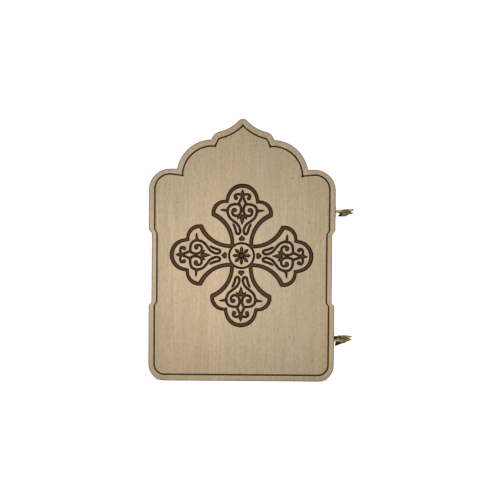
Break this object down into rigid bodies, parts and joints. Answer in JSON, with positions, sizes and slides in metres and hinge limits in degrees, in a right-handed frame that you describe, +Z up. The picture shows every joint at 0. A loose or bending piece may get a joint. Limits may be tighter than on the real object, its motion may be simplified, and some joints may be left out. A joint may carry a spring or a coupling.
{
  "type": "folding wooden diptych",
  "caption": "Closed folding wooden diptych with an ogee top, engraved border and flared cross, brass hinges on one edge and open hook clasps on the other.",
  "frame": {"origin": "middle of the back leaf's underside, half way through its width and its thickness", "axes": "+X towards the clasps, the outside of the front leaf faces -Y, +Z up along the leaves"},
  "size_m": [0.1181, 0.0186, 0.1478],
  "materials": {
    "wood": "satin waxed hardwood with burnt engraving",
    "brass": "lightly tarnished brass"
  },
  "bodies": {
    "back_leaf": {"back_leaf": "wood", "upper_hinge_back_plate": "brass", "upper_hinge_pin": "brass", "upper_clasp_plate": "brass", "upper_clasp_pin": "brass", "lower_hinge_back_plate": "brass", "lower_hinge_pin": "brass", "lower_clasp_plate": "brass", "lower_clasp_pin": "brass"},
    "front_leaf": {"front_leaf": "wood", "upper_hinge_front_plate": "brass", "upper_keeper_stud": "brass", "lower_hinge_front_plate": "brass", "lower_keeper_stud": "brass"},
    "upper_clasp_arm": {"upper_clasp_arm": "brass"},
    "lower_clasp_arm": {"lower_clasp_arm": "brass"}
  },
  "joints": [
    {"name": "leaf_hinge", "type": "hinge", "parent": "back_leaf", "child": "front_leaf", "pos_m": [-0.0526, -0.0048, 0.06], "axis": [0, 0, -1], "range_deg": [0, 180]},
    {"name": "upper_clasp_swing", "type": "hinge", "parent": "back_leaf", "child": "upper_clasp_arm", "pos_m": [0.0535, 0.0015, 0.0965], "axis": [0, 0, 1], "range_deg": [-90, 90]},
    {"name": "lower_clasp_swing", "type": "hinge", "parent": "back_leaf", "child": "lower_clasp_arm", "pos_m": [0.0535, 0.0015, 0.0228], "axis": [0, 0, 1], "range_deg": [-90, 90]}
  ]
}
